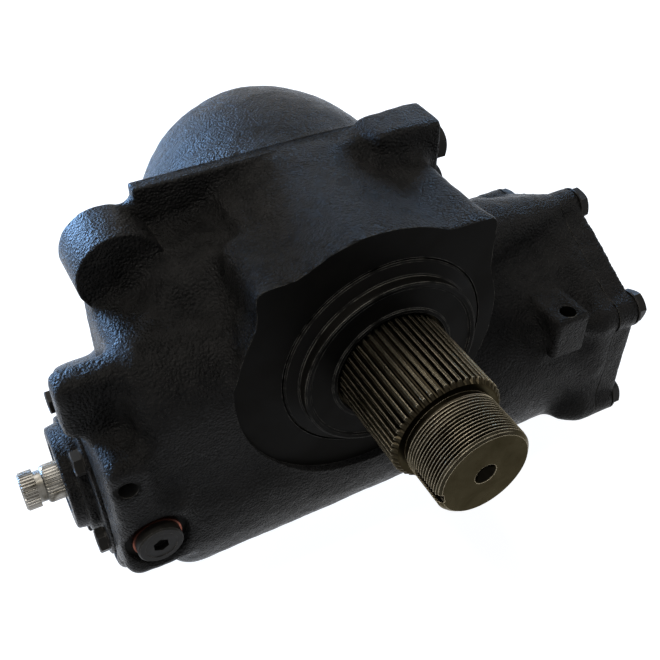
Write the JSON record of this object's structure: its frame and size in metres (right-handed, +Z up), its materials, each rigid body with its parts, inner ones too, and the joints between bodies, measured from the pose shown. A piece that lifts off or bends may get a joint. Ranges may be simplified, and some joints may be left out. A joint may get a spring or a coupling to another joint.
{
  "type": "power steering gear",
  "caption": "Recirculating-ball power steering gear: black cast housing with domed back, hexagonal end cover, splined and threaded output shaft and a small splined input shaft",
  "frame": {"origin": "on the output shaft's axis, at the inner end of its serrations", "axes": "-Y points out along the output shaft, +X along the piston to the end cover, -X to the input shaft, +Z up from the piston to the output shaft"},
  "size_m": [0.3825, 0.2974, 0.253],
  "materials": {
    "casting": "satin black paint over rough casting",
    "machined_dark": "black painted over a turned face",
    "machined_steel": "oiled machined steel",
    "bearing_steel": "ground bearing steel",
    "bolt_black": "black painted steel",
    "copper": "soft copper sealing washer",
    "rubber": "matte black",
    "ring_plastic": "filled fluoropolymer"
  },
  "bodies": {
    "gear_housing": {"housing": "casting", "end_cover": "casting", "input_cover": "casting", "end_cover_bolts": "bolt_black", "input_cover_bolts": "bolt_black", "end_cover_oring": "rubber", "input_cover_oring": "rubber", "carrier_oring": "rubber", "input_shaft_seal": "rubber", "input_dust_seal": "rubber", "output_shaft_seal": "rubber", "bearing_carrier": "machined_dark", "snap_ring": "machined_dark", "dust_cover": "machined_dark", "front_bearing_shell": "bearing_steel", "front_bearing_needles": "bearing_steel", "rear_bearing_shell": "bearing_steel", "rear_bearing_needles": "bearing_steel", "input_bearing_shell": "bearing_steel", "input_bearing_needles": "bearing_steel", "inner_thrust_bearing": "bearing_steel", "outer_thrust_bearing": "bearing_steel", "adjusting_screw": "bolt_black", "adjuster_locknut": "bolt_black", "port_plugs": "bolt_black", "port_washers": "copper", "relief_valve_plug": "bolt_black", "relief_valve_washer": "copper", "relief_valve_spring": "bearing_steel", "relief_valve_ball": "bearing_steel"},
    "output_shaft": {"sector_shaft": "machined_steel", "adjuster_retainer": "machined_steel"},
    "piston": {"rack_piston": "machined_steel", "piston_ring": "ring_plastic", "ball_train": "bearing_steel", "return_tube": "bearing_steel", "return_tube_strap": "bearing_steel", "strap_screws": "bolt_black"},
    "ball_screw": {"worm_screw": "machined_steel", "valve_sleeve": "machined_steel", "valve_sleeve_rings": "ring_plastic", "screw_bar_pin": "bearing_steel"},
    "steering_input": {"input_shaft": "machined_steel", "torsion_bar": "machined_steel", "input_bar_pin": "bearing_steel"}
  },
  "joints": [
    {"name": "sector_turn", "type": "hinge", "parent": "gear_housing", "child": "output_shaft", "pos_m": [0, 0, 0], "axis": [0, -1, 0], "range_deg": [-45, 45]},
    {"name": "piston_slide", "type": "slide", "parent": "gear_housing", "child": "piston", "axis": [1, 0, 0], "range_m": [-0.0354, 0.0354]},
    {"name": "screw_spin", "type": "hinge", "parent": "gear_housing", "child": "ball_screw", "pos_m": [0, 0.082, -0.08], "axis": [1, 0, 0], "range_deg": [-901, 901]},
    {"name": "valve_twist", "type": "hinge", "parent": "ball_screw", "child": "steering_input", "pos_m": [-0.15, 0.082, -0.08], "axis": [1, 0, 0], "range_deg": [-4, 4], "stiffness_Nm_per_rad": 100}
  ],
  "couplings": [
    {"joint": "piston_slide", "follows": "sector_turn", "m_per_rad": 0.045},
    {"joint": "screw_spin", "follows": "sector_turn", "ratio": -20}
  ]
}
